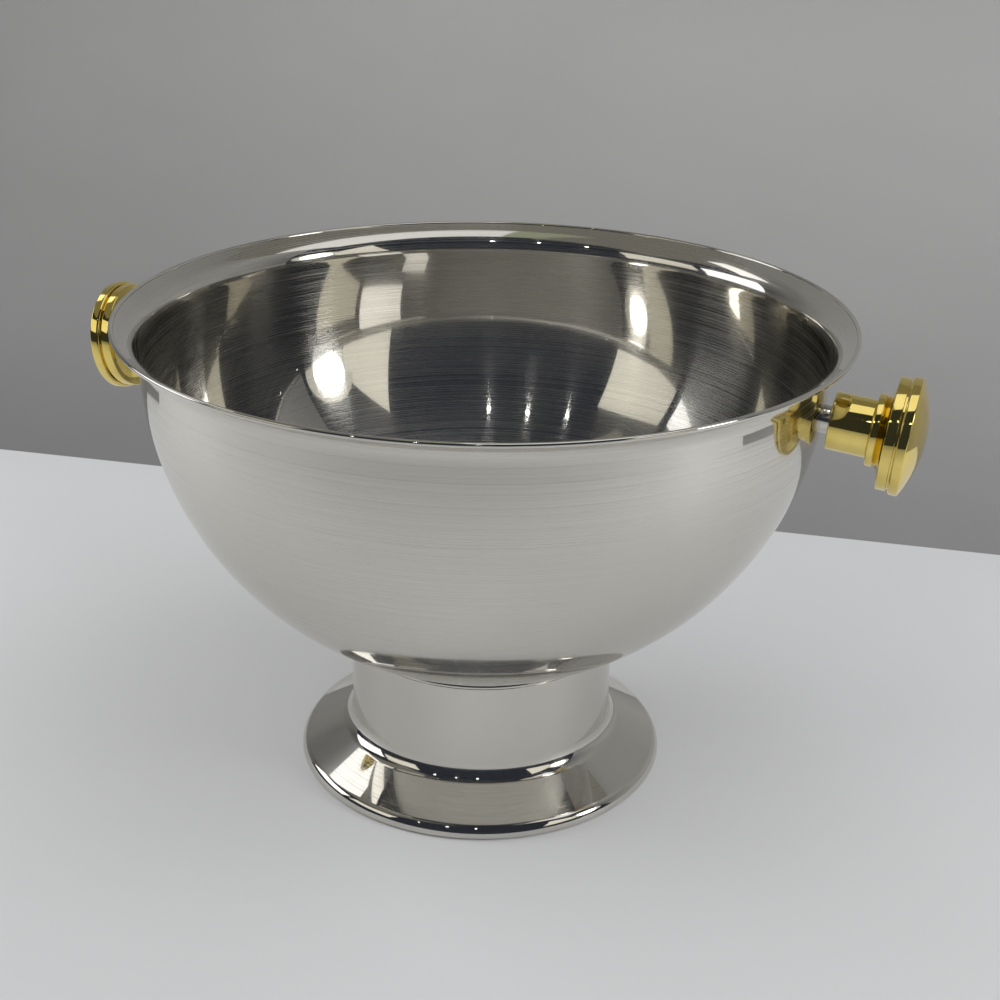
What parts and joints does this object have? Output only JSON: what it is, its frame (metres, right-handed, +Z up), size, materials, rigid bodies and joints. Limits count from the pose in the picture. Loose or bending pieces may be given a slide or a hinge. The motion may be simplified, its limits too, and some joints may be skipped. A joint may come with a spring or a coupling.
{
  "type": "footed champagne bowl",
  "caption": "Round spun-steel champagne bowl with a flared wired lip, a hollow pedestal foot and brass knob handles on both sides.",
  "frame": {"origin": "on the bowl's own axis, at the level of the surface the foot stands on", "axes": "+Z up along the bowl's axis; +X out through the right handle, seen from the side the camera stood on; +Y away from that side"},
  "size_m": [0.4768, 0.4, 0.2695],
  "materials": {
    "polished_steel": "stainless steel sheet, spun on a lathe and polished nearly to a mirror, with fine rings around its axis",
    "polished_brass": "turned solid brass, polished and lacquered",
    "plated_steel": "dull zinc plate on mild steel"
  },
  "bodies": {
    "root": {"bowl_shell": "polished_steel", "rim_wire": "polished_steel", "neck_bead": "polished_steel", "foot_shell": "polished_steel", "foot_wire": "plated_steel", "stud_plate": "plated_steel", "foot_stud": "plated_steel", "ledge_ring": "plated_steel", "clamp_plate": "plated_steel", "foot_washer": "plated_steel", "foot_nut": "plated_steel", "handle_studs": "plated_steel", "left_spacer": "polished_steel", "left_stem": "polished_brass", "left_collar": "polished_brass", "left_knob_body": "polished_brass", "left_knob_cap": "polished_brass", "right_spacer": "polished_steel", "right_stem": "polished_brass", "right_collar": "polished_brass", "right_knob_body": "polished_brass", "right_knob_cap": "polished_brass"}
  },
  "joints": []
}
